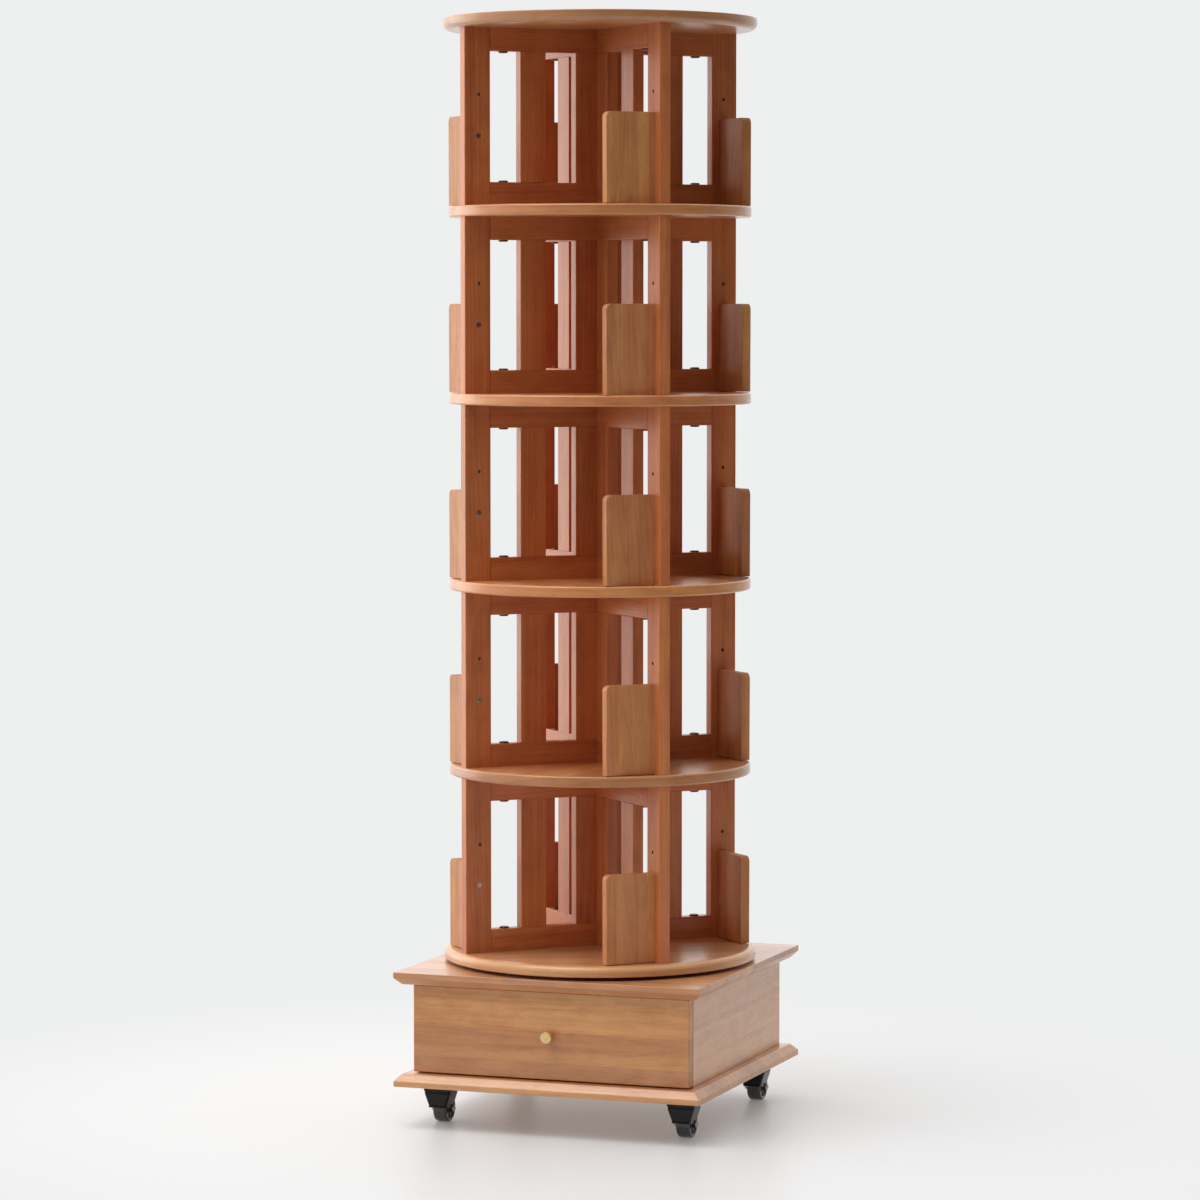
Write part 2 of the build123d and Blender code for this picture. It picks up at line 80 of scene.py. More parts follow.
# Discs
shelf_round = 3 * MM
disc_wide_round = 10 * MM
disc_small_round = 1.5 * MM
disc_segments = 240
band_margin = 1 * MM
band_seam_angle = 70

# Fasteners
hole_points = 20
recess_taper = 0.8
screw_head_diameter = 7.5 * MM
screw_pocket_depth = 2 * MM
screw_shank_diameter = 4 * MM
screw_rim_gap = 0.15 * MM
screw_shank_gap = 0.1 * MM
screw_sunk = 0.3 * MM
screw_edge = 0.2 * MM
screw_crown = 0.1 * MM
screw_crown_inset = 0.3 * MM
screw_cross_reach = 2.1 * MM
screw_cross_half_width = 0.45 * MM
screw_cross_depth = 1.2 * MM
bolt_head_diameter = 14 * MM
bolt_head_height = 2.5 * MM
bolt_socket = 4 * MM
bolt_socket_depth = 1.6 * MM
head_foot_bevel = 0.3 * MM
head_dome_share = 0.8
axle_head_diameter = 10 * MM
axle_head_height = 3 * MM
pan_cross_reach = 1.8 * MM
pan_cross_half_width = 0.4 * MM
pan_cross_depth = 1.1 * MM

# Base and drawer
board_bevel = 10 * MM
turntable_recess = 3 * MM
recess_radius = 151 * MM
base_edge = 0.8 * MM
drawer_front_edge = 1.4 * MM
base_screw_inset = 90 * MM

# Casters, drawn with the swivel axis on Z and the wheel rolling along Y
caster_trail = 12 * MM
axle_level = 20 * MM
hood_crown = 47.2 * MM
hood_lip = 25.2 * MM
hood_taper_end = 26 * MM
hood_half_width = 21 * MM
hood_half_length = 18 * MM
hood_lip_front = 16 * MM
hood_corner = 4 * MM
hood_corner_share = 0.45
leg_outside = 13.8 * MM
leg_inside = 11.3 * MM
leg_end_radius = 7 * MM
wheel_room_radius = 22 * MM
lip_half_length = 11.5 * MM
lip_radius = 1.6 * MM
lip_setback = 0.4 * MM
lip_rise = 0.2 * MM
axle_radius = 2.9 * MM
nut_corner_radius = 5.7 * MM
nut_height = 3.4 * MM
nut_middle = 2.4 * MM
nut_edge = 0.5 * MM
rib_count = 6
rib_start = 7.6 * MM
rib_end = 15 * MM
rib_half_width = 1 * MM
rib_span = 19.2 * MM
rib_edge = 0.4 * MM
plate_half = 23 * MM
plate_thickness = 2.5 * MM
plate_corner = 3 * MM
plate_edge = 0.5 * MM
plate_screw_inset = 6 * MM
corners = ["front_left", "front_right", "back_left", "back_right"]

# Places worked out from those
panel_face = panel_thickness / 2
outer_stile_start = arm_reach - outer_stile_width
centre_stile_end = centre_stile_width / 2
window_width = (outer_stile_start - middle_stile_width - centre_stile_end) / 2
middle_stile_end = outer_stile_start - window_width
middle_stile_start = middle_stile_end - middle_stile_width
bolt_place = outer_stile_start - window_width / 2
stop_middle = arm_reach - stop_setback - stop_thickness / 2
stop_top = stop_floor_gap + stop_height
discs = ["bottom_disc"] + [f"shelf_{number}" for number in range(1, tier_count)] + ["top_disc"]
tier_floors = [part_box(disc)[1].z for disc in discs[:-1]]
panel_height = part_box(discs[1])[0].z - tier_floors[0]
window_top = panel_height - rail_height
screw_taper = screw_shank_diameter / screw_head_diameter
plate_hole = plate_half - plate_screw_inset
plate_screw_places = [(x, y) for x in (-plate_hole, plate_hole) for y in (-plate_hole, plate_hole)]
knob_low, knob_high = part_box("drawer_knob")
knob_level = (knob_low.z + knob_high.z) / 2

# Ways to stand a board: the columns say where its length, its height and its thickness point
lying = Matrix(((1, 0, 0), (0, 1, 0), (0, 0, 1)))
standing_along_x = Matrix(((1, 0, 0), (0, 0, -1), (0, 1, 0)))
standing_along_y = Matrix(((0, 0, 1), (1, 0, 0), (0, 1, 0)))
standing_as_stop = Matrix(((0, 0, -1), (-1, 0, 0), (0, 1, 0)))
hanging = Matrix(((1, 0, 0), (0, -1, 0), (0, 0, -1)))
pointing_along_x = Matrix(((0, 0, 1), (0, 1, 0), (-1, 0, 0)))
pointing_to_front = Matrix(((1, 0, 0), (0, 0, -1), (0, 1, 0)))
pointing_to_back = Matrix(((1, 0, 0), (0, 0, 1), (0, -1, 0)))

# Axes that a board's grain may follow, and the sides of a rectangle's outline
LENGTH, HEIGHT = 0, 1
BOTTOM, RIGHT, TOP, LEFT = range(4)
ALL_SIDES = [BOTTOM, RIGHT, TOP, LEFT]


# Outlines
def arc(centre, radius, start, end, steps=6):
    """Points along an arc, its angles in degrees."""
    turns = [math.radians(start + (end - start) * step / steps) for step in range(steps + 1)]
    return [(centre[0] + radius * math.cos(turn), centre[1] + radius * math.sin(turn)) for turn in turns]


def circle(radius, count, centre=(0, 0)):
    return arc(centre, radius, 0, 360, count)[:-1]


def rectangle(x_low, x_high, y_low, y_high):
    return [(x_low, y_low), (x_high, y_low), (x_high, y_high), (x_low, y_high)]


def rounded_rectangle(x_low, x_high, y_low, y_high, radius, steps=5):
    middles = rectangle(x_low + radius, x_high - radius, y_low + radius, y_high - radius)
    return [point for turn, middle in enumerate(middles)
            for point in arc(middle, radius, 180 + 90 * turn, 270 + 90 * turn, steps)]


def cross(reach, half_width):
    """Outline of a cross-head recess."""
    quarter = [(half_width, reach), (-half_width, reach), (-half_width, half_width)]
    points = []
    for _ in range(4):
        points += quarter
        quarter = [(-y, x) for x, y in quarter]
    return points


def in_mm(table):
    """Points that are given in millimetres."""
    return [(x * MM, y * MM) for x, y in table]


# Solid forms
def blank():
    """Empty mesh whose faces carry marks: worn on rounded edges, bored inside holes."""
    mesh = bmesh.new()
    for mark in ("worn", "bored"):
        mesh.faces.layers.float.new(mark)
    return mesh


def soften(mesh, edges, ease, segments=2):
    """Rounds edges over and marks the new faces as worn."""
    made = bmesh.ops.bevel(mesh, geom=edges, offset=ease, segments=segments, profile=0.5,
                           affect="EDGES", clamp_overlap=True)
    worn = mesh.faces.layers.float["worn"]
    for face in made["faces"]:
        face[worn] = 1.0
    bmesh.ops.remove_doubles(mesh, verts=mesh.verts[:], dist=0.002 * MM)


def hard_edges(mesh, least_angle=25):
    mesh.normal_update()
    return [edge for edge in mesh.edges if edge.calc_face_angle(0) > math.radians(least_angle)]


def lofted(loops):
    """Closed skin through loops of points, with a flat cap on the first and the last."""
    mesh = blank()
    rings = [[mesh.verts.new(point) for point in loop] for loop in loops]
    count = len(rings[0])
    mesh.faces.new(rings[0][::-1])
    mesh.faces.new(rings[-1])
    for low, high in zip(rings, rings[1:]):
        for here in range(count):
            there = (here + 1) % count
            mesh.faces.new((low[here], low[there], high[there], high[here]))
    return mesh


def turned(profile, segments=32):
    """Profile of radii and heights, from the foot up, turned about Z."""
    return lofted([[(x, y, height) for x, y in circle(radius, segments)] for radius, height in profile])


def turned_ring(profile, segments=32):
    """Closed profile of radii and heights, turned about Z round an open bore."""
    mesh = turned(profile + profile[:1], segments)
    caps = [face for face in mesh.faces if len(face.verts) > 4]
    bmesh.ops.delete(mesh, geom=caps, context="FACES_ONLY")
    bmesh.ops.remove_doubles(mesh, verts=mesh.verts[:], dist=0.001 * MM)
    return mesh


def board(outline, thickness, open_sides, ease=sanded_edge, segments=2):
    """Flat board with an outline in X and Y and its thickness along Z.

    Side n runs from point n of the outline to the next. Open sides are sanded round, glued ones stay sharp.
    """
    half = thickness / 2
    mesh = lofted([[(x, y, level) for x, y in outline] for level in (-half, half)])
    mesh.verts.ensure_lookup_table()
    count = len(outline)
    back, front = mesh.verts[:count], mesh.verts[count:]
    eased = []
    for here in open_sides:
        there = (here + 1) % count
        eased += [mesh.edges.get((row[here], row[there])) for row in (back, front)]
        if there in open_sides:
            eased.append(mesh.edges.get((back[there], front[there])))
    soften(mesh, eased, ease, segments)
    return mesh


def opened(mesh, side, outlines):
    """Opens holes in the large flat face that looks along +Z (1) or -Z (-1); gives their rims."""
    mesh.normal_update()
    flat_faces = [face for face in mesh.faces if face.normal.z * side > 0.99]
    largest = max(flat_faces, key=lambda face: face.calc_area())
    level = largest.verts[0].co.z
    border = largest.edges[:]
    mesh.faces.remove(largest)
    rims = [[mesh.verts.new((x, y, level)) for x, y in outline] for outline in outlines]
    for rim in rims:
        border += [mesh.edges.new(pair) for pair in zip(rim, rim[1:] + rim[:1])]
    filled = bmesh.ops.triangle_fill(mesh, edges=border, use_beauty=True)
    inner = [part for part in filled["geom"] if isinstance(part, bmesh.types.BMEdge) and part not in border]
    bmesh.ops.dissolve_limit(mesh, angle_limit=math.radians(1), verts=[], edges=inner)
    return rims


def walled(mesh, rim, other):
    """Wall of a hole, between two rims."""
    bored = mesh.faces.layers.float["bored"]
    for here in range(len(rim)):
        there = (here + 1) % len(rim)
        wall = mesh.faces.new((rim[here], rim[there], other[there], other[here]))
        wall[bored] = 1.0


def pocket(mesh, rim, depth, narrowing=1.0):
    """Blind hole down from a rim, towards the middle of the mesh."""
    middle = sum((vert.co for vert in rim), Vector()) / len(rim)
    down = Vector((0, 0, -depth if middle.z > 0 else depth))
    floor = [mesh.verts.new(middle + (vert.co - middle) * narrowing + down) for vert in rim]
    walled(mesh, rim, floor)
    mesh.faces.new(floor)[mesh.faces.layers.float["bored"]] = 1.0


def driven_head(profile, recess, depth):
    """Turned head with a driver recess in its flat top.

    It is lifted above z = 0 while the recess is cut, so that the pocket goes down.
    """
    mesh = turned(profile)
    lift = Matrix.Translation((0, 0, 1))
    mesh.transform(lift)
    rim, = opened(mesh, 1, [recess])
    pocket(mesh, rim, depth, recess_taper)
    mesh.transform(lift.inverted())
    return mesh


def carved(mesh, cutter):
    """Mesh less a cutter."""
    things = []
    for form in (mesh, cutter):
        bmesh.ops.recalc_face_normals(form, faces=form.faces[:])
        data = bpy.data.meshes.new("rough")
        form.to_mesh(data)
        form.free()
        things.append(bpy.data.objects.new("rough", data))
        bpy.context.scene.collection.objects.link(things[-1])
    cut = things[0].modifiers.new("cut", "BOOLEAN")
    cut.operation = "DIFFERENCE"
    cut.object = things[1]
    shaped = things[0].evaluated_get(bpy.context.evaluated_depsgraph_get())
    result = blank()
    result.from_mesh(shaped.data)
    for thing in things:
        bpy.data.meshes.remove(thing.data)
    return result


def bent(point, radius):
    """Point of a straight strip (length, height, distance outwards) that is bent round Z."""
    turn = point.x / radius
    reach = radius + point.z
    return Vector((reach * math.cos(turn), reach * math.sin(turn), point.y))


class Piece:
    """Forms gathered into one object of the scene, each board with its own grain and tone."""

    def __init__(self, name):
        self.name = name
        self.draw = random.Random(name)
        self.mesh = bmesh.new()
        self.grain = self.mesh.verts.layers.float_vector.new("grain")
        for mark in ("tone", "worn", "bored", "end"):
            self.mesh.faces.layers.float.new(mark)

    def add(self, form, place, along=LENGTH, bend_radius=None):
        """Moves a form to its place; along is the axis that its grain follows.

        With a bend radius, the form is drawn as a straight strip along X and is bent round Z.
        """
        marks = self.mesh.faces.layers.float
        form_marks = form.faces.layers.float
        bmesh.ops.recalc_face_normals(form, faces=form.faces[:])
        board_tone = self.draw.random()
        strip_shift = 0.35 + 0.3 * self.draw.random()
        across = 1 - along
        copies = {}
        for vert in form.verts:
            spot = vert.co if bend_radius is None else bent(vert.co, bend_radius)
            copy = self.mesh.verts.new(place @ spot)
            copy[self.grain] = (vert.co[across] + strip_shift, vert.co.z, vert.co[along])
            copies[vert] = copy
        for face in form.faces:
            made = self.mesh.faces.new([copies[vert] for vert in face.verts])
            made.smooth = True
            made[marks["tone"]] = board_tone
            made[marks["end"]] = float(abs(face.normal[along]) > 0.7)
            for mark in ("worn", "bored"):
                made[marks[mark]] = face[form_marks[mark]]
        form.free()

    def done(self, body, finish, *nodes):
        """Makes the object, which rides on a body and stands for nodes of the frame."""
        sharp = math.radians(50)
        self.mesh.normal_update()
        for edge in self.mesh.edges:
            edge.smooth = edge.calc_face_angle(0) < sharp
        data = bpy.data.meshes.new(self.name)
        self.mesh.to_mesh(data)
        self.mesh.free()
        data.materials.append(finish.material)
        thing = bpy.data.objects.new(self.name, data)
        bpy.context.scene.collection.objects.link(thing)
        even = thing.modifiers.new("even_shading", "WEIGHTED_NORMAL")
        even.keep_sharp = True
        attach(thing, body)
        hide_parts(*nodes)


# Shader tools
class Signal:
    """A shader socket whose arithmetic adds Math nodes to its finish."""

    def __init__(self, finish, socket):
        self.finish = finish
        self.socket = socket

    def __add__(self, other):
        return self.finish.math("ADD", self, other)

    def __sub__(self, other):
        return self.finish.math("SUBTRACT", self, other)

    def __rsub__(self, other):
        return self.finish.math("SUBTRACT", other, self)

    def __mul__(self, other):
        return self.finish.math("MULTIPLY", self, other)

    def __truediv__(self, other):
        return self.finish.math("DIVIDE", self, other)

    def __pow__(self, other):
        return self.finish.math("POWER", self, other)

    __radd__ = __add__
    __rmul__ = __mul__


class Shading:
    """Node tree of a material or of the sky."""

    def __init__(self, owner):
        owner.use_nodes = True
        self.tree = owner.node_tree
        self.tree.nodes.clear()

    def feed(self, socket, value):
        if isinstance(value, Signal):
            self.tree.links.new(value.socket, socket)
        else:
            socket.default_value = value

    def node(self, kind, settings, sockets, out=0):
        """Adds a node: its settings first, then the values or links of its sockets."""
        made = self.tree.nodes.new(kind)
        for name, value in settings.items():
            setattr(made, name, value)
        for name, value in sockets.items():
            self.feed(made.inputs[name], value)
        return Signal(self, made.outputs[out])

    def math(self, operation, *values):
        return self.node("ShaderNodeMath", {"operation": operation}, dict(enumerate(values)))

    def vector(self, operation, *values, out="Vector"):
        return self.node("ShaderNodeVectorMath", {"operation": operation}, dict(enumerate(values)), out)

    def mixed(self, factor, first, second, blend="MIX"):
        """Mix of two colours."""
        settings = {"data_type": "RGBA", "blend_type": blend, "clamp_factor": True}
        return self.node("ShaderNodeMix", settings, {0: factor, 6: first, 7: second}, 2)

    def parts(self, vector):
        return [self.node("ShaderNodeSeparateXYZ", {}, {0: vector}, axis) for axis in range(3)]

    def joined(self, x, y, z):
        return self.node("ShaderNodeCombineXYZ", {}, {0: x, 1: y, 2: z})

    def step(self, value, low, high):
        """Smooth rise from 0 to 1 between two values."""
        settings = {"interpolation_type": "SMOOTHSTEP"}
        sockets = {"Value": value, "From Min": low, "From Max": high}
        return self.node("ShaderNodeMapRange", settings, sockets)

    def noise(self, vector, scale, detail=2.0, roughness=0.5):
        sockets = {"Vector": vector, "Scale": scale, "Detail": detail, "Roughness": roughness}
        return self.node("ShaderNodeTexNoise", {}, sockets)

    def mark(self, name, out="Fac"):
        """Attribute of the mesh."""
        return self.node("ShaderNodeAttribute", {"attribute_name": name}, {}, out)

    def place(self):
        """Rest position in the row frame, which moves with the piece."""
        return self.node("ShaderNodeTexCoord", {}, {}, "Object")


class Finish(Shading):
    """One material of the bookcase, for one slot of the record."""

    def __init__(self, slot, **shader_values):
        self.slot = slot
        self.material = bpy.data.materials.new(slot)
        super().__init__(self.material)
        self.shader = self.tree.nodes.new("ShaderNodeBsdfPrincipled")
        self.output = self.tree.nodes.new("ShaderNodeOutputMaterial")
        self.tree.links.new(self.shader.outputs[0], self.output.inputs[0])
        for name, value in shader_values.items():
            self.shader.inputs[name.replace("_", " ")].default_value = value

    def surface(self, **signals):
        for name, signal in signals.items():
            self.feed(self.shader.inputs[name.replace("_", " ")], signal)

    def bumped(self, height, distance, strength):
        sockets = {"Height": height, "Distance": distance, "Strength": strength}
        self.surface(Normal=self.node("ShaderNodeBump", {}, sockets))


def colour(red, green, blue):
    return (red, green, blue, 1.0)


def shaded(tone, share):
    """Darker or paler version of a tone."""
    return colour(*[min(1.0, share * part) for part in tone])


# Finishes
def wood(slot, strip_width, pale, rosy, deep, gloss, spread=0.2, from_place=False):
    """Oiled hardwood with growth rings, fibres, pores and streaks along the grain.

    Each glued strip differs in tone, by the spread. Gloss is the weight of the oil's coat.
    """
    finish = Finish(slot, Coat_Weight=gloss, Coat_Roughness=0.22, Specular_IOR_Level=0.45)
    spot = finish.place() if from_place else finish.mark("grain", "Vector")
    across, through, along = finish.parts(spot)
    tone, worn, bored, end = (finish.mark(name) for name in ("tone", "worn", "bored", "end"))

    # Three chance values for each strip of each board, and a place of its own in the noise
    strip = finish.math("FLOOR", across / strip_width)
    seed = {"W": strip + 37.0 * tone}
    luck = finish.node("ShaderNodeTexWhiteNoise", {"noise_dimensions": "1D"}, seed, "Color")
    luck_a, luck_b, luck_c = finish.parts(luck)
    wandering = finish.vector("MULTIPLY_ADD", luck, (5.0, 5.0, 5.0), spot)

    def stretched(length_share, scale, detail=2.0, roughness=0.5):
        """Noise that is drawn out along the grain."""
        squeezed = finish.vector("MULTIPLY", wandering, (1.0, 1.0, length_share))
        return finish.noise(squeezed, scale, detail, roughness)

    # Growth rings round a heart that lies beside the strip and isn't quite parallel to it
    sway = stretched(0.3, 9.0) - 0.5
    in_strip = across - strip * strip_width - strip_width * luck_a
    heart_side = in_strip + 30 * MM * sway + 0.08 * (luck_c - 0.5) * along
    heart_depth = through + 14 * MM + 40 * MM * luck_b + 0.2 * (luck_a - 0.5) * along
    radius = finish.math("SQRT", heart_side * heart_side + heart_depth * heart_depth)
    ring_pitch = 4.5 * MM + 3 * MM * luck_b
    ring = finish.math("FRACT", radius / ring_pitch + 0.5 * sway)
    late_wood = ring ** 2.0 * (1.0 - finish.step(ring, 0.85, 1.0))

    # Fibres and pores, broad and narrow streaks, and a shimmer across the grain
    fibre = stretched(0.025, 420.0, roughness=0.6)
    pore = finish.step(stretched(0.05, 1300.0, detail=0.0), 0.64, 0.76)
    broad = finish.step(stretched(0.06, 22.0), 0.35, 0.65)
    band = stretched(0.03, 36.0) - 0.5
    streak = stretched(0.012, 115.0) - 0.5
    shimmer = stretched(0.6, 42.0) - 0.5
    base = finish.mixed(broad, colour(*pale), colour(*rosy))
    figure = 1.1 * band + 0.7 * streak + 0.4 * (fibre - 0.5) + 0.7 * shimmer
    base = finish.mixed(0.24 * late_wood + figure + 0.15, base, colour(*deep))
    base = finish.mixed(0.2 * pore, base, shaded(deep, 0.4))

    # Each strip's tint, from yellow to pink, and its strength
    hue = 0.5 + 5.0 * spread * (luck_b - 0.5)
    tint = finish.mixed(hue, colour(1.06, 1.02, 0.9), colour(0.97, 0.92, 0.98))
    base = finish.mixed(1.0, base, tint, "MULTIPLY")
    strength = 1.0 + spread * (luck_c - 0.5)
    base = finish.mixed(1.0, base, finish.joined(strength, strength, strength), "MULTIPLY")

    # Paler where edges are rubbed, darker on end grain, and nearly black inside holes and pockets: raw end
    # grain with painted shade
    rubbed = worn * finish.step(stretched(0.5, 55.0), 0.35, 0.7)
    base = finish.mixed(0.16 * rubbed, base, shaded(pale, 1.35))
    base = finish.mixed(0.18 * end, base, shaded(deep, 0.8))
    # Painted shade: the walls and floors of holes and pockets are darkened to near black
    base = finish.mixed(0.9 * bored, base, shaded(deep, 0.15))
    finish.surface(Base_Color=base)
    dullness = 0.46 - 0.18 * gloss
    raw = 0.12 * end + 0.4 * bored
    finish.surface(Roughness=dullness + 0.14 * (fibre - 0.5) + 0.1 * pore + 0.06 * rubbed + raw)
    finish.bumped(0.5 * fibre + 0.25 * late_wood - 0.7 * pore, 0.25 * MM, 0.22)
    return finish


def plated(slot, base, metallic, roughness, spread, grain_scale, bump, stretch=(1.0, 1.0, 1.0),
           **shader_values):
    """Metal or moulded finish with fine uneven colour, gloss and texture; rolled metal stretches them."""
    finish = Finish(slot, Metallic=metallic, **shader_values)
    spot = finish.vector("MULTIPLY", finish.place(), stretch)
    fine = finish.noise(spot, grain_scale, 3.0, 0.6)
    broad = finish.step(finish.noise(spot, 90.0), 0.3, 0.7)
    uneven = 0.5 * broad + 0.4 * (fine - 0.5)
    finish.surface(Base_Color=finish.mixed(uneven, colour(*base), shaded(base, 0.72)))
    finish.surface(Roughness=roughness + spread * (fine - 0.5) + spread * (broad - 0.5))
    finish.bumped(fine, 0.1 * MM, bump)
    return finish


def turned_metal(slot, base, roughness, groove_pitch, centre, axis):
    """Metal with fine rings left by the lathe, round an axis through a centre."""
    finish = Finish(slot, Metallic=1.0)
    spot = finish.place()
    across_axis = [0.0 if direction == axis else 1.0 for direction in "XYZ"]
    offset = finish.vector("MULTIPLY", finish.vector("SUBTRACT", spot, centre), across_axis)
    radius = finish.vector("LENGTH", offset, out="Value")
    lines = finish.noise(finish.joined(radius, 0.0, 0.0), 1.0 / groove_pitch, 3.0, 0.7)
    cloud = finish.step(finish.noise(spot, 160.0), 0.3, 0.7)
    finish.surface(Base_Color=finish.mixed(0.5 * cloud, colour(*base), shaded(base, 0.8)))
    finish.surface(Roughness=roughness + 0.12 * (lines - 0.5) + 0.08 * cloud)
    finish.bumped(lines, 0.05 * MM, 0.3)
    return finish


# Pale, rosy and deep tone of each wood
shelf_tones = (0.63, 0.29, 0.1), (0.59, 0.24, 0.09), (0.35, 0.1, 0.03)
# Painted light: paler tones of the shelf wood for the discs, standing in for the light that falls on their
# tops
painted_light_disc_tones = (0.67, 0.36, 0.15), (0.63, 0.31, 0.135), (0.4, 0.16, 0.06)
panel_tones = (0.6, 0.21, 0.064), (0.57, 0.17, 0.053), (0.29, 0.066, 0.018)
stop_tones = (0.59, 0.275, 0.1), (0.56, 0.23, 0.087), (0.32, 0.09, 0.028)
base_tones = (0.64, 0.33, 0.135), (0.59, 0.275, 0.12), (0.35, 0.125, 0.043)
drawer_tones = (0.68, 0.47, 0.28), (0.64, 0.42, 0.25), (0.42, 0.23, 0.1)
dowel_tones = (0.7, 0.52, 0.33), (0.66, 0.48, 0.3), (0.45, 0.28, 0.14)

# Widths of the glued strips; a board in one piece is narrower than its strip
shelf_strip = 74 * MM
stop_strip = 47 * MM
base_strip = 96 * MM
front_strip = 45 * MM
one_piece = 1.0

shelf_wood = wood("shelf_wood", shelf_strip, *shelf_tones, gloss=0.6, spread=0.34)
# Same slot as the shelf wood; the discs' paler tones are painted light
painted_light_disc_wood = wood("shelf_wood", shelf_strip, *painted_light_disc_tones, gloss=0.6, spread=0.34)
panel_wood = wood("panel_wood", one_piece, *panel_tones, gloss=0.25, spread=0.08)
stop_wood = wood("stop_wood", stop_strip, *stop_tones, gloss=0.0)
base_wood = wood("base_wood", base_strip, *base_tones, gloss=0.6, spread=0.3)
front_wood = wood("drawer_front_wood", front_strip, *base_tones, gloss=0.25, spread=0.34)
drawer_wood = wood("drawer_box_wood", one_piece, *drawer_tones, gloss=0.05)
dowel_wood = wood("dowel_wood", one_piece, *dowel_tones, gloss=0.0, from_place=True)
brass = turned_metal("brass", (0.83, 0.62, 0.27), 0.3, 0.35 * MM, (0.0, 0.0, knob_level), "Y")
zinc = plated("zinc_steel", (0.5, 0.5, 0.51), 1.0, roughness=0.28, spread=0.1, grain_scale=420.0, bump=0.03)
rolled_zinc = plated("zinc_steel", (0.56, 0.56, 0.57), 1.0, roughness=0.3, spread=0.08,
                     grain_scale=260.0, bump=0.02, stretch=(1.0, 0.02, 1.0))
# Painted shade: zinc coloured the dark brown that the bolt heads show in the shade of the window rails
shade_toned_zinc = plated("zinc_steel", (0.16, 0.075, 0.04), 1.0, roughness=0.36, spread=0.14,
                      grain_scale=420.0, bump=0.05)
aluminium = turned_metal("ring_aluminium", (0.78, 0.78, 0.79), 0.3, 0.9 * MM, (0.0, 0.0, 0.0), "Z")
black_steel = plated("black_steel", (0.004, 0.0042, 0.0042), 0.0, roughness=0.14, spread=0.1,
                     grain_scale=1400.0, bump=0.08, Specular_IOR_Level=0.3)
wheel_plastic = plated("wheel_plastic", (0.05, 0.048, 0.046), 0.0, roughness=0.26, spread=0.14,
                       grain_scale=1700.0, bump=0.14, Coat_Weight=0.5)


# Tower discs
def edge_band(length, thickness, width, low_round, high_round):
    """Straight strip along X for a round board's edge. Its outer side faces +Z, its corners are worn."""
    low_corner = arc((low_round, -low_round), low_round, 180, 90, 8)
    high_corner = arc((thickness - high_round, -high_round), high_round, 90, 0, 8)
    profile = [(0, -width)] + low_corner + high_corner + [(thickness, -width)]
    steps = [length * step / disc_segments for step in range(disc_segments + 1)]
    form = lofted([[(x, y, z) for y, z in profile] for x in steps])
    form.normal_update()
    worn = form.faces.layers.float["worn"]
    for face in form.faces:
        face[worn] = float(0.1 < abs(face.normal.y) < 0.97)
    return form


def round_board(piece_name, node, finish, low_round, high_round, grain_angle):
    """Glued strips within a bent edge band, whose ends meet at the back."""
    low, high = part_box(node)
    radius, thickness = high.x, high.z - low.z
    band_width = max(low_round, high_round) + band_margin
    inner = radius - band_width
    underside = Matrix.Translation((0, 0, low.z))
    along_grain = Matrix.Rotation(math.radians(grain_angle), 4, "Z")
    to_seam = Matrix.Rotation(math.radians(band_seam_angle + grain_angle % 45), 4, "Z")
    strips = turned([(inner, 0), (inner, thickness)], disc_segments)
    band = edge_band(2 * math.pi * radius, thickness, band_width, low_round, high_round)
    piece = Piece(piece_name)
    piece.add(strips, underside @ along_grain)
    piece.add(band, underside @ to_seam, bend_radius=radius)
    piece.done("tower", finish, node)


round_board("bottom_round", "bottom_disc", painted_light_disc_wood, disc_small_round, disc_wide_round, grain_angle=24)
for number in range(1, tier_count):
    round_board(f"round_shelf_{number}", f"shelf_{number}", shelf_wood, shelf_round, shelf_round,
                grain_angle=20 + 61 * number)
round_board("top_round", "top_disc", painted_light_disc_wood, disc_wide_round, disc_small_round, grain_angle=8)


# Panel frames
def drilled_stile():
    """Outer stile with a pocket for the stop's screw and a spare hole above it."""
    outline = rectangle(outer_stile_start, arm_reach, 0, panel_height)
    form = board(outline, panel_thickness, [RIGHT, LEFT])
    spare = circle(spare_hole_diameter / 2, hole_points, (stop_middle, stop_top + spare_hole_rise))
    screw = circle(screw_head_diameter / 2, hole_points, (stop_middle, stop_top - stop_screw_drop))
    front_rim, = opened(form, 1, [spare])
    back_rim, screw_rim = opened(form, -1, [spare, screw])
    walled(form, front_rim, back_rim)
    pocket(form, screw_rim, screw_pocket_depth, screw_taper)
    return form


def slotted_stile(slot_is_up):
    """Centre stile with its half of the lap joint. Its open sides are the two towards the windows."""
    low, high, middle = rail_height, window_top, panel_height / 2
    slot, end = lap_slot_width / 2, centre_stile_end
    if slot_is_up:
        outline = [(-end, low), (end, low), (end, high), (slot, high), (slot, middle), (-slot, middle),
                   (-slot, high), (-end, high)]
        return board(outline, panel_thickness, [1, 7])
    outline = [(-end, low), (-slot, low), (-slot, middle), (slot, middle), (slot, low), (end, low),
               (end, high), (-end, high)]
    return board(outline, panel_thickness, [5, 7])


def rail_parts(low, high, is_slotted, window_side):
    """A rail in one length, or in two halves beside the lap slot."""
    slot = lap_slot_width / 2
    spans = [(-outer_stile_start, -slot), (slot, outer_stile_start)]
    if not is_slotted:
        spans = [(-outer_stile_start, outer_stile_start)]
    return [board(rectangle(*span, low, high), panel_thickness, [window_side]) for span in spans]


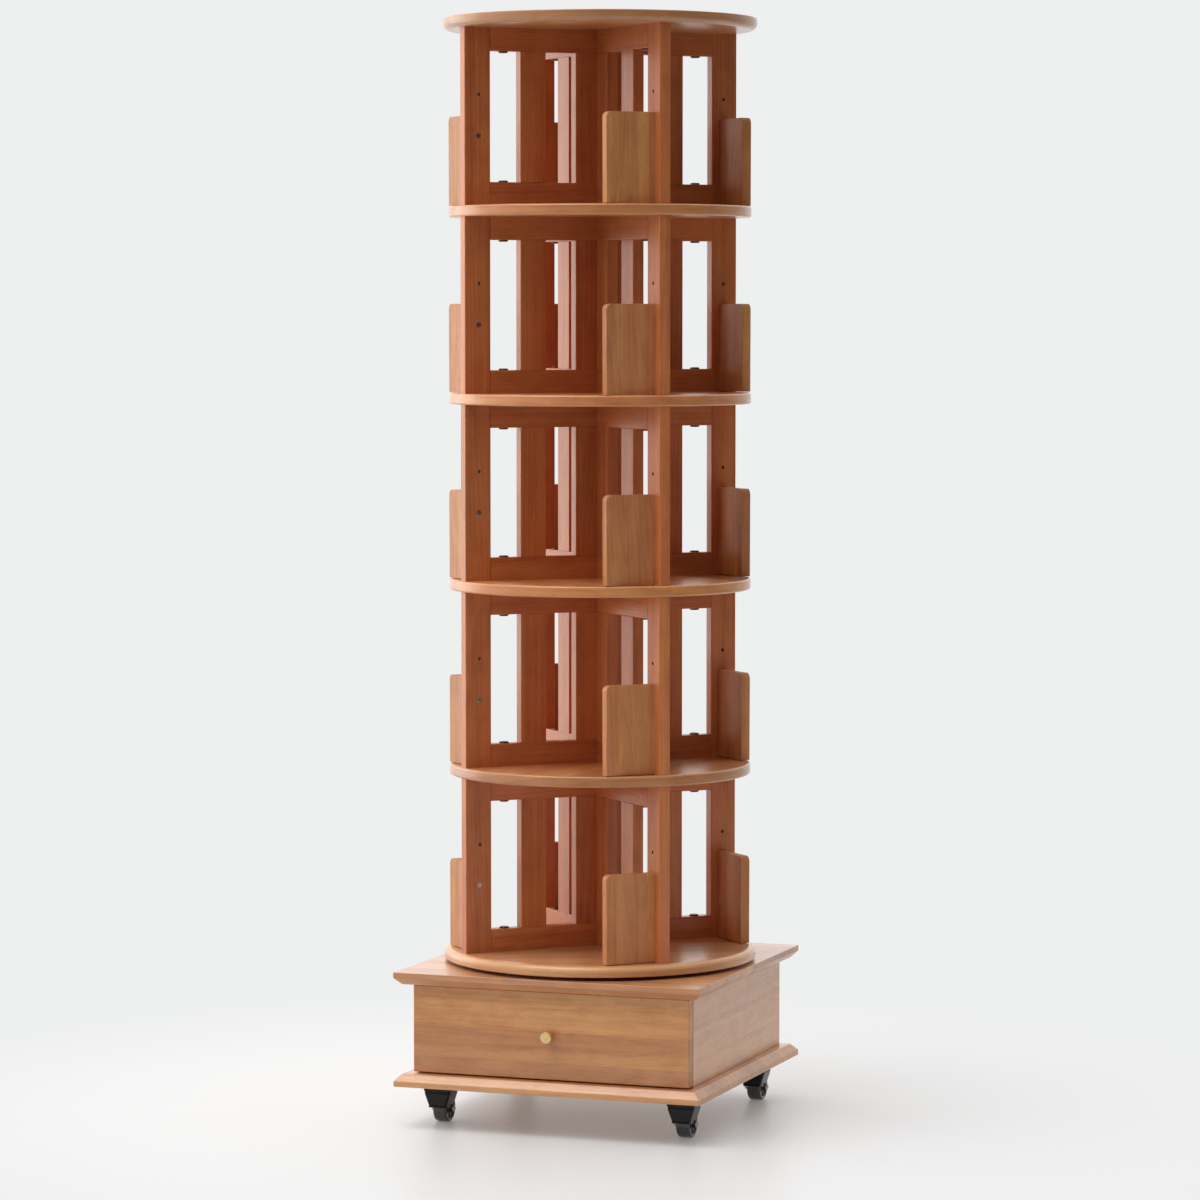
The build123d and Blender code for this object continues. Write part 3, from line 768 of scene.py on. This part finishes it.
def panel_frame(tier, kind):
    """Outer, middle and centre stiles with a bottom and a top rail."""
    slot_is_up = kind == "slot_up"
    piece = Piece(f"tier_{tier + 1}_frame_{kind}")
    turn = Matrix.Rotation(math.radians(panel_angles[kind]), 4, "Z")
    stand = Matrix.Translation((0, 0, tier_floors[tier])) @ turn @ standing_along_x.to_4x4()
    middle = rectangle(middle_stile_start, middle_stile_end, rail_height, window_top)
    for half_turn in (0, math.pi):
        place = stand @ Matrix.Rotation(half_turn, 4, "Y")
        piece.add(drilled_stile(), place, HEIGHT)
        piece.add(board(middle, panel_thickness, [RIGHT, LEFT]), place, HEIGHT)
    piece.add(slotted_stile(slot_is_up), stand, HEIGHT)
    for part in rail_parts(0, rail_height, not slot_is_up, TOP):
        piece.add(part, stand)
    for part in rail_parts(window_top, panel_height, slot_is_up, BOTTOM):
        piece.add(part, stand)
    piece.done("tower", panel_wood, f"tier_{tier + 1}_panel_{kind}")


for tier in range(tier_count):
    for kind in panel_angles:
        panel_frame(tier, kind)


# Book stops
def on_arm(tier, angle):
    """Frame of one arm: X points out along it, at the tier's floor."""
    turn = Matrix.Rotation(math.radians(angle), 4, "Z")
    return Matrix.Translation((0, 0, tier_floors[tier])) @ turn


def stop_board():
    """Stop with a rounded top corner, sharp at the floor and against the panel."""
    corner = arc((stop_width - stop_corner, stop_height - stop_corner), stop_corner, 0, 90)
    outline = [(0, 0), (stop_width, 0)] + corner + [(0, stop_height)]
    open_sides = list(range(1, len(outline) - 1))
    return board(outline, stop_thickness, open_sides, stop_edge, segments=4)


for tier in range(tier_count):
    piece = Piece(f"tier_{tier + 1}_stop_boards")
    for angle in arm_angles:
        seat = Matrix.Translation((stop_middle, -panel_face, stop_floor_gap)) @ standing_as_stop.to_4x4()
        piece.add(stop_board(), on_arm(tier, angle) @ seat, HEIGHT)
    piece.done("tower", stop_wood, f"tier_{tier + 1}_book_stops")


# Fasteners of the tower
def countersunk_screw():
    """Flat head that points up, flush with z = 0, with a cross recess."""
    rim = screw_head_diameter / 2 - screw_rim_gap
    shank = screw_shank_diameter / 2 - screw_shank_gap
    foot = [(shank, screw_shank_gap - screw_pocket_depth)]
    cone = [(rim - screw_edge, -screw_sunk - screw_edge), (rim, -screw_sunk)]
    face = [(rim - screw_crown_inset, screw_crown - screw_sunk)]
    recess = cross(screw_cross_reach, screw_cross_half_width)
    return driven_head(foot + cone + face, recess, screw_cross_depth)


def socket_head(diameter, height):
    """Domed head that stands on z = 0, with a hex socket."""
    radius = diameter / 2
    dome_round = head_dome_share * height
    foot = [(radius - head_foot_bevel, 0), (radius, head_foot_bevel)]
    dome = arc((radius - dome_round, height - dome_round), dome_round, 0, 80)
    hexagon = circle(bolt_socket / 2, 6)
    return driven_head(foot + dome, hexagon, bolt_socket_depth)


def pan_head():
    """Rounded head that stands on z = 0, with a cross recess. Its outline is in millimetres."""
    outline = [(3.7, 0)] + arc((2, 0.2), 1.7, 0, 80, 5)
    return driven_head(in_mm(outline), cross(pan_cross_reach, pan_cross_half_width), pan_cross_depth)


screws = Piece("stop_wood_screws")
for tier in range(tier_count):
    for angle in arm_angles:
        seat = Matrix.Translation((stop_middle, panel_face, stop_top - stop_screw_drop))
        screws.add(countersunk_screw(), on_arm(tier, angle) @ seat @ pointing_to_back.to_4x4())
screws.done("tower", zinc, "stop_screws")

bolts = Piece("tier_bolt_heads")
nuts = Piece("tier_sleeve_nuts")
for tier in range(tier_count):
    for angle in arm_angles:
        sill = on_arm(tier, angle) @ Matrix.Translation((bolt_place, 0, rail_height))
        lintel = on_arm(tier, angle) @ Matrix.Translation((bolt_place, 0, window_top)) @ hanging.to_4x4()
        bolts.add(socket_head(bolt_head_diameter, bolt_head_height), sill)
        upper = bolts if tier == tier_count - 1 else nuts
        upper.add(socket_head(bolt_head_diameter, bolt_head_height), lintel)
# Bolt heads in zinc darkened to their tone in shade: painted shade
bolts.done("tower", shade_toned_zinc, "panel_bolts")
nuts.done("tower", shade_toned_zinc, "panel_bolt_nuts")


# Boards of the base and the drawer, as large as their solids
def fitted(node, stand):
    """Size of a node's board in its own axes, and its place."""
    low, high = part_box(node)
    size = [abs(part) for part in stand.transposed() @ (high - low)]
    return size, Matrix.Translation((low + high) / 2) @ stand.to_4x4()


def plain_board(name, node, stand, body, finish, ease=base_edge):
    """Board with all its edges sanded."""
    (length, height, thickness), place = fitted(node, stand)
    outline = rectangle(-length / 2, length / 2, -height / 2, height / 2)
    piece = Piece(name)
    piece.add(board(outline, thickness, ALL_SIDES, ease), place)
    piece.done(body, finish, node)


def bevelled_board(node, bevelled_side):
    """Square board with a wide bevel round one face."""
    (length, depth, thickness), place = fitted(node, lying)
    form = board(rectangle(-length / 2, length / 2, -depth / 2, depth / 2), thickness, [])
    rim = [edge for edge in form.edges if all(vert.co.z * bevelled_side > 0 for vert in edge.verts)]
    bmesh.ops.bevel(form, geom=rim, offset=board_bevel, segments=1, profile=0.5, affect="EDGES")
    soften(form, hard_edges(form), base_edge)
    return form, place


form, place = bevelled_board("base_top_board", -1)
recess_rim, = opened(form, 1, [circle(recess_radius, count=96)])
pocket(form, recess_rim, turntable_recess)
piece = Piece("base_top_plank")
piece.add(form, place)
piece.done("base", base_wood, "base_top_board")

form, place = bevelled_board("base_bottom_board", 1)
side_low, side_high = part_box("base_side_left")
back_low, back_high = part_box("base_back")
side_middle = (side_low.x + side_high.x) / 2
screw_places = [(x, y) for x in (side_middle, -side_middle)
                for y in (side_low.y + base_screw_inset, back_low.y - base_screw_inset)]
screw_places += [(x / 2, (back_low.y + back_high.y) / 2) for x in (back_low.x, back_high.x)]
for rim in opened(form, -1, [circle(screw_head_diameter / 2, hole_points, spot) for spot in screw_places]):
    pocket(form, rim, screw_pocket_depth, screw_taper)
piece = Piece("base_bottom_plank")
piece.add(form, place)
piece.done("base", base_wood, "base_bottom_board")

under_screws = Piece("base_wood_screws")
under_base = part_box("base_bottom_board")[0].z
for x, y in screw_places:
    under_screws.add(countersunk_screw(), Matrix.Translation((x, y, under_base)) @ hanging.to_4x4())
under_screws.done("base", zinc, "base_screws")

plain_board("base_left_wall", "base_side_left", standing_along_y, "base", base_wood)
plain_board("base_right_wall", "base_side_right", standing_along_y, "base", base_wood)
plain_board("base_back_wall", "base_back", standing_along_x, "base", base_wood)
plain_board("drawer_face_board", "drawer_front", standing_along_x, "drawer", front_wood, drawer_front_edge)
plain_board("drawer_left_board", "drawer_side_left", standing_along_y, "drawer", drawer_wood)
plain_board("drawer_right_board", "drawer_side_right", standing_along_y, "drawer", drawer_wood)
plain_board("drawer_back_board", "drawer_back", standing_along_x, "drawer", drawer_wood)
plain_board("drawer_floor_board", "drawer_bottom", lying, "drawer", drawer_wood)


# Knob, turned along the drawer's travel
def knob_form():
    """Flared foot, slim neck and flat round head, from radii and heights in millimetres."""
    foot = [(5.6, 0), (5.6, 0.8), (4.5, 1.8)]
    neck = [(4.5, 6.2), (5.7, 7)]
    low_edge = arc((7.35, 7.9), 0.9, -90, 0, 4)
    high_edge = arc((7.35, 16.1), 0.9, 0, 60, 4)
    face = [(7.05, 16.92), (6.65, 16.98), (0.4, 17)]
    return turned(in_mm(foot + neck + low_edge + high_edge + face), segments=48)


front_low, front_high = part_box("drawer_front")
knob = Piece("brass_knob")
knob.add(knob_form(), Matrix.Translation((0, front_low.y, knob_level)) @ pointing_to_front.to_4x4())
knob.add(pan_head(), Matrix.Translation((0, front_high.y, knob_level)) @ pointing_to_back.to_4x4())
knob.done("drawer", brass, "drawer_knob")


# Casters
def between(value, low, high, at_low, at_high):
    share = (value - low) / (high - low)
    return at_low + (at_high - at_low) * share


def hood_loop(level, inset):
    """Outline of the hood and its legs at one level, from the side and front outlines of pressed steel."""
    half, front, back = hood_half_width, -hood_half_length, hood_half_length
    if level < hood_crown:
        back = between(level, hood_crown, axle_level, hood_half_length, caster_trail + leg_end_radius)
        half = between(max(level, hood_taper_end), hood_crown, hood_taper_end, hood_half_width, leg_outside)
        front = between(max(level, hood_lip), hood_crown, hood_lip, -hood_half_length, -hood_lip_front)
    if level < hood_lip:
        front = between(level, hood_lip, axle_level, -hood_lip_front, caster_trail - leg_end_radius)
    if level < axle_level:
        reach = math.sqrt(leg_end_radius ** 2 - (axle_level - level) ** 2)
        front, back = caster_trail - reach, caster_trail + reach
    half, front, back = half - inset, front + inset, back - inset
    radius = min(hood_corner, hood_corner_share * (back - front))
    return [(x, y, level) for x, y in rounded_rectangle(-half, half, front, back, radius)]


def hood_form():
    """Fork: a crown with a pressed step under it, and a hood over the wheel that narrows to two legs.

    Its sections are levels and insets in millimetres.
    """
    legs = [(level, 0) for level in (13.1, 13.6, 14.6, 16, 18, 20, 22, 24, 25.2, 26, 29, 33, 38, 43)]
    pressed_step = [(45.2, 0.2), (46.2, 1), (46.8, 1), (47.4, 0.2)]
    crown = [(47.8, 0), (50, 0), (51.8, 0), (52.3, 0.2), (52.9, 0.8), (53.2, 1.8)]
    loops = [hood_loop(level, inset) for level, inset in in_mm(legs + pressed_step + crown)]
    room = turned([(wheel_room_radius, -leg_inside), (wheel_room_radius, leg_inside)], segments=64)
    room.transform(Matrix.Translation((0, caster_trail, axle_level)) @ pointing_along_x.to_4x4())
    return carved(lofted(loops), room)


def lip_form():
    """Rolled lip along the hood's lower front edge, with rounded ends."""
    low_end = arc((0, -lip_half_length), lip_radius, -80, 0, 4)
    high_end = arc((0, lip_half_length), lip_radius, 0, 80, 4)
    return turned(low_end + high_end, segments=16)


def wheel_form():
    """Hub, dished web, rim and tyre, turned about the axle from radii and heights in millimetres."""
    hub = [(3.1, 10.3), (7.4, 10.3), (8, 9.7)]
    web = [(8.2, 8.4), (14.6, 8.2), (15, 9.6), (15.4, 10.1)]
    tyre = arc((16.8, 7.3), 3.2, 75, 0) + [(20, 0.5), (19.75, 0.3)]
    half = hub + web + tyre
    other_half = [(radius, -height) for radius, height in reversed(half)]
    return turned_ring(in_mm(half + other_half), segments=64)


def rib_form():
    """One rib of the wheel's web, on both of its sides."""
    outline = rectangle(rib_start, rib_end, -rib_half_width, rib_half_width)
    return board(outline, rib_span, ALL_SIDES, rib_edge)


def nut_form():
    """Hex nut on a washer, standing on z = 0, with the bolt's tip."""
    washer = turned(in_mm([(5.6, 0), (5.8, 0.2), (5.8, 0.7), (5.5, 0.9)]))
    nut = board(circle(nut_corner_radius, 6), nut_height, [])
    rims = [edge for edge in nut.edges if abs(edge.verts[0].co.z - edge.verts[1].co.z) < nut_height / 2]
    soften(nut, rims, nut_edge, segments=1)
    nut.transform(Matrix.Translation((0, 0, nut_middle)))
    tip = turned(in_mm([(2.9, 3.9), (2.9, 4.3), (2.4, 4.5)]), segments=24)
    return [washer, nut, tip]


def caster_base_forms():
    """Mounting plate with countersunk corners and the swivel race on it, drawn upside down from z = 0."""
    outline = rounded_rectangle(-plate_half, plate_half, -plate_half, plate_half, plate_corner, 4)
    plate = board(outline, plate_thickness, [])
    soften(plate, hard_edges(plate, 60), plate_edge)
    holes = [circle(screw_head_diameter / 2, hole_points, spot) for spot in plate_screw_places]
    for rim in opened(plate, 1, holes):
        pocket(plate, rim, screw_pocket_depth, screw_taper)
    plate.transform(Matrix.Translation((0, 0, plate_thickness / 2)))
    race_outline = [(14.2, 2.4), (15, 3)] + arc((13.4, 5.6), 1.6, 0, 90, 5) + [(12.6, 7.5)]
    race = turned(in_mm(race_outline), segments=48)
    return [plate, race]


plates = Piece("caster_mounting_plates")
plate_screws = Piece("caster_plate_screws")
swivels = {joint["child"]: Vector(joint["pos_m"]) for joint in frame["joints"] if "pos_m" in joint}
for corner in corners:
    swivel = swivels[f"caster_{corner}_swivel"]
    stand = Matrix.Translation((swivel.x, swivel.y, 0))
    ceiling = Matrix.Translation((swivel.x, swivel.y, under_base)) @ hanging.to_4x4()
    for form in caster_base_forms():
        plates.add(form, ceiling)
    for x, y in plate_screw_places:
        plate_screws.add(countersunk_screw(), ceiling @ Matrix.Translation((x, y, plate_thickness)))
    hood = Piece(f"{corner}_caster_hood")
    hood.add(hood_form(), stand)
    lip_place = Matrix.Translation((0, lip_setback - hood_lip_front, hood_lip + lip_rise))
    hood.add(lip_form(), stand @ lip_place @ pointing_along_x.to_4x4())
    hood.done(f"caster_{corner}_swivel", black_steel, f"caster_{corner}_fork")
    axle = stand @ Matrix.Translation((0, caster_trail, axle_level)) @ pointing_along_x.to_4x4()
    roller = Piece(f"{corner}_caster_roller")
    roller.add(wheel_form(), axle)
    for rib in range(rib_count):
        roller.add(rib_form(), axle @ Matrix.Rotation(2 * math.pi * rib / rib_count, 4, "Z"))
    roller.done(f"caster_{corner}_wheel", wheel_plastic, f"caster_{corner}_wheel")
    pin = Piece(f"{corner}_caster_axle_bolt")
    pin.add(turned([(axle_radius, -leg_outside), (axle_radius, leg_outside)], segments=24), axle)
    head_side = axle @ Matrix.Translation((0, 0, leg_outside))
    nut_side = axle @ Matrix.Translation((0, 0, -leg_outside)) @ hanging.to_4x4()
    pin.add(socket_head(axle_head_diameter, axle_head_height), head_side)
    for form in nut_form():
        pin.add(form, nut_side)
    pin.done(f"caster_{corner}_swivel", zinc, f"caster_{corner}_axle")
plates.done("base", black_steel, "caster_plates")
plate_screws.done("base", zinc, "caster_screws")


# Solids that keep their own shape
def dress(finish, *nodes):
    for node in nodes:
        for slot in frame["nodes"][node].material_slots:
            slot.material = finish.material


dress(aluminium, "turntable_lower_ring", "turntable_upper_ring")
dress(zinc, "turntable_lower_screws", "turntable_upper_screws", "turntable_balls")
dress(rolled_zinc, "slide_cabinet_rails", "slide_middle_rails", "slide_drawer_rails")
dress(dowel_wood, "base_dowels", "stop_dowels")


# Stage: pale floor that fades into the backdrop, soft light from the left, camera
white = (1.0, 1.0, 1.0)
backdrop = (0.855, 0.863, 0.863)
bright_side = (-0.6, 0.38, 0.7)
dark_end, bright_end = -0.7, 0.9
sky_dark, sky_bright = 0.02, 1.3
key_place, key_aim, key_size = (-3.7, 0.8, 1.3), (0, 0, 0.8), (2.4, 2.6)
key_power, key_tint = 28, (1.0, 0.95, 0.86)
top_place, top_aim, top_size = (-1.5, -1.9, 6.2), (0, 0, 0.6), (4.0, 4.0)
top_power = 188
floor_tone, floor_speckle = 0.65, 0.03
floor_radius, floor_thickness = 3.5, 0.02
floor_glow = 0.15
fade_start, fade_end = 0.3, 1.3
camera_azimuth = math.radians(20)
camera_distance = 6.553
camera_height = 1.186
camera_pitch = math.radians(3.764)
camera_lens, camera_sensor = 134.76, 36


def make_floor():
    """Round floor, lit near the bookcase and as even as the backdrop further out."""
    form = turned([(floor_radius, -floor_thickness), (floor_radius, 0.0)], segments=128)
    data = bpy.data.meshes.new("studio_floor")
    bmesh.ops.recalc_face_normals(form, faces=form.faces[:])
    form.to_mesh(data)
    form.free()
    thing = bpy.data.objects.new("studio_floor", data)
    bpy.context.scene.collection.objects.link(thing)
    finish = Finish("studio_floor", Roughness=0.4, Specular_IOR_Level=0.35)
    spot = finish.place()
    speck = finish.noise(spot, 3.0)
    pale, paler = (colour(tone, tone, tone) for tone in (floor_tone, floor_tone + floor_speckle))
    finish.surface(Base_Color=finish.mixed(speck, pale, paler))
    distance = finish.vector("LENGTH", spot, out="Value")
    glow = finish.node("ShaderNodeEmission", {}, {"Color": colour(*backdrop), "Strength": 1.0})
    lit = Signal(finish, finish.shader.outputs[0])
    fading = floor_glow + (1.0 - floor_glow) * finish.step(distance, fade_start, fade_end)
    faded = finish.node("ShaderNodeMixShader", {}, {0: fading, 1: lit, 2: glow})
    finish.feed(finish.output.inputs[0], faded)
    data.materials.append(finish.material)


def make_sky():
    """Studio light that is brighter on the left; the camera sees the backdrop's even tone."""
    world = bpy.data.worlds.new("studio_sky")
    bpy.context.scene.world = world
    sky = Shading(world)
    direction = sky.node("ShaderNodeTexCoord", {}, {}, "Generated")
    towards = sky.vector("DOT_PRODUCT", direction, bright_side, out="Value")
    side = sky.step(towards, dark_end, bright_end)
    strength = sky_dark + (sky_bright - sky_dark) * side
    light = sky.node("ShaderNodeBackground", {}, {"Color": colour(*white), "Strength": strength})
    seen = sky.node("ShaderNodeBackground", {}, {"Color": colour(*backdrop), "Strength": 1.0})
    is_seen = sky.node("ShaderNodeLightPath", {}, {}, "Is Camera Ray")
    shown = sky.node("ShaderNodeMixShader", {}, {0: is_seen, 1: light, 2: seen})
    sky.feed(sky.tree.nodes.new("ShaderNodeOutputWorld").inputs[0], shown)


def softbox(name, place, aim, size, power, tint):
    lamp = bpy.data.lights.new(name, "AREA")
    lamp.shape = "RECTANGLE"
    lamp.size, lamp.size_y = size
    lamp.energy = power
    lamp.color = tint
    thing = bpy.data.objects.new(name, lamp)
    thing.location = place
    thing.rotation_euler = (Vector(aim) - Vector(place)).to_track_quat("-Z", "Y").to_euler()
    bpy.context.scene.collection.objects.link(thing)


def make_camera():
    lens = bpy.data.cameras.new("photo_camera")
    lens.lens = camera_lens
    lens.sensor_width = camera_sensor
    thing = bpy.data.objects.new("photo_camera", lens)
    out = Vector((math.sin(camera_azimuth), -math.cos(camera_azimuth), 0))
    thing.location = out * camera_distance + Vector((0, 0, camera_height))
    thing.rotation_euler = (math.pi / 2 - camera_pitch, 0, camera_azimuth)
    bpy.context.scene.collection.objects.link(thing)
    bpy.context.scene.camera = thing


make_floor()
make_sky()
softbox("key_left", key_place, key_aim, key_size, key_power, key_tint)
softbox("top_front", top_place, top_aim, top_size, top_power, white)
make_camera()
bpy.context.scene.view_settings.view_transform = "Standard"
bpy.context.scene.view_settings.look = "None"
